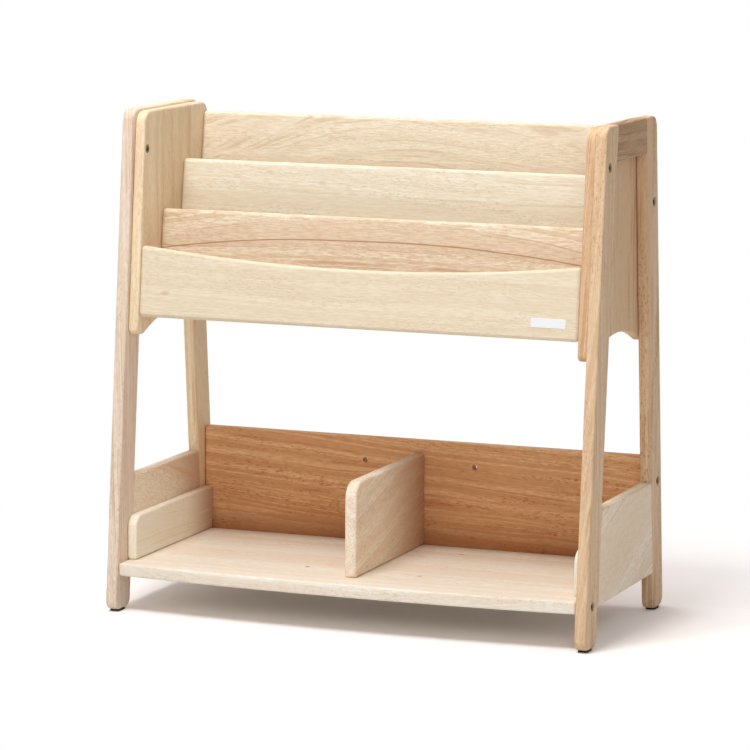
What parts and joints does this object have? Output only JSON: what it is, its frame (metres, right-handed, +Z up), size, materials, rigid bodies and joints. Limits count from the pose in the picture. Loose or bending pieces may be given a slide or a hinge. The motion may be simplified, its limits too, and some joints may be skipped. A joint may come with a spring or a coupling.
{
  "type": "picture book browser bin",
  "caption": "Free-standing wooden rack that shows picture books face out in stepped, back-leaning rows over a low toy shelf with back board and divider, on splayed side frames.",
  "frame": {"origin": "on the floor, under the middle of the bounding box", "axes": "+X to the right seen from the front, +Y to the rear, +Z up; the front with the low board of the bin and the bowed shelf edge faces -Y"},
  "size_m": [0.63, 0.3188, 0.624],
  "materials": {
    "wood": "clear satin lacquer on rubberwood",
    "fastener": "dark bronzed",
    "glide": "black, matt"
  },
  "bodies": {
    "root": {"back_board": "wood", "back_board_left_screw": "fastener", "back_board_middle_screw": "fastener", "back_board_right_screw": "fastener", "bin_floor": "wood", "bin_front_board": "wood", "bin_high_middle_board": "wood", "bin_low_middle_board": "wood", "bin_rear_board": "wood", "divider": "wood", "divider_back_bolt": "fastener", "divider_back_insert": "fastener", "divider_front_bolt": "fastener", "divider_front_insert": "fastener", "divider_rear_bolt": "fastener", "divider_rear_insert": "fastener", "left_back_board_barrel_nut": "fastener", "left_back_board_bolt": "fastener", "left_bin_front_bolt": "fastener", "left_bin_front_sleeve_nut": "fastener", "left_bin_rear_bolt": "fastener", "left_bin_rear_sleeve_nut": "fastener", "left_bin_side": "wood", "left_front_glide": "glide", "left_front_leg": "wood", "left_low_side": "wood", "left_low_side_front_screw": "fastener", "left_low_side_rear_screw": "fastener", "left_rear_glide": "glide", "left_rear_leg": "wood", "left_shelf_barrel_nut": "fastener", "left_shelf_bolt": "fastener", "left_side_rail": "wood", "left_top_rail": "wood", "right_back_board_barrel_nut": "fastener", "right_back_board_bolt": "fastener", "right_bin_front_bolt": "fastener", "right_bin_front_sleeve_nut": "fastener", "right_bin_rear_bolt": "fastener", "right_bin_rear_sleeve_nut": "fastener", "right_bin_side": "wood", "right_front_glide": "glide", "right_front_leg": "wood", "right_low_side": "wood", "right_low_side_front_screw": "fastener", "right_low_side_rear_screw": "fastener", "right_rear_glide": "glide", "right_rear_leg": "wood", "right_shelf_barrel_nut": "fastener", "right_shelf_bolt": "fastener", "right_side_rail": "wood", "right_top_rail": "wood", "shelf": "wood"}
  },
  "joints": []
}
